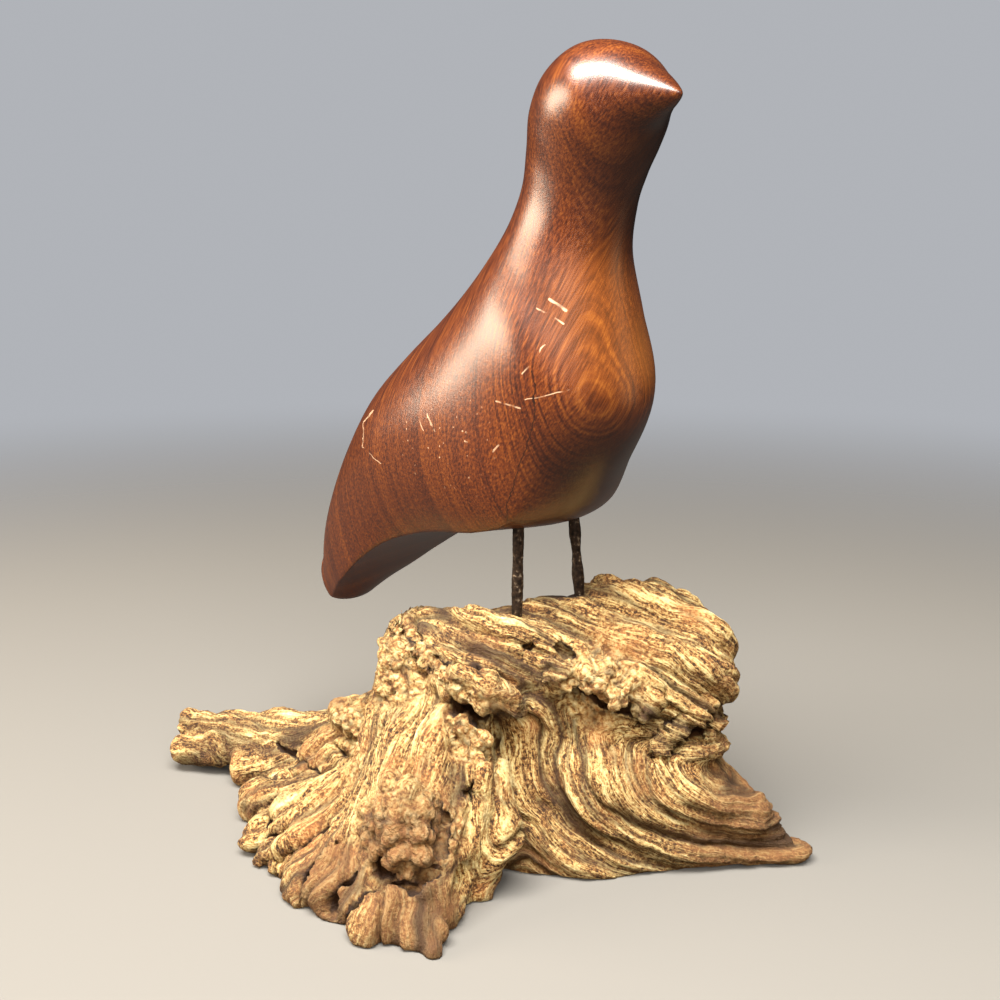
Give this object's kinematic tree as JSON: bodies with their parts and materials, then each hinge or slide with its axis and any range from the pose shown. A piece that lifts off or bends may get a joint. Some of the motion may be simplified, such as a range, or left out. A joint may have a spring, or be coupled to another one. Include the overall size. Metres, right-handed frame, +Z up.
{
  "type": "carved wooden bird on a root base",
  "caption": "Smooth polished wood carving of a standing bird with a round head, short bill and drooping tail, held on thin metal rods above a gnarled weathered root base.",
  "frame": {"origin": "middle of the bounding box at the underside of the root, on the surface it stands on", "axes": "+X the way the bird faces, +Y the bird's left, +Z up"},
  "size_m": [0.1956, 0.1413, 0.2382],
  "materials": {
    "polished_wood": "oiled and polished, glossy",
    "dark_rod": "blackened, dull and slightly rough",
    "weathered_root": "bare, weathered and deeply furrowed"
  },
  "bodies": {
    "root": {"bird": "polished_wood", "near_leg_rod": "dark_rod", "far_leg_rod": "dark_rod", "root_base": "weathered_root"}
  },
  "joints": []
}
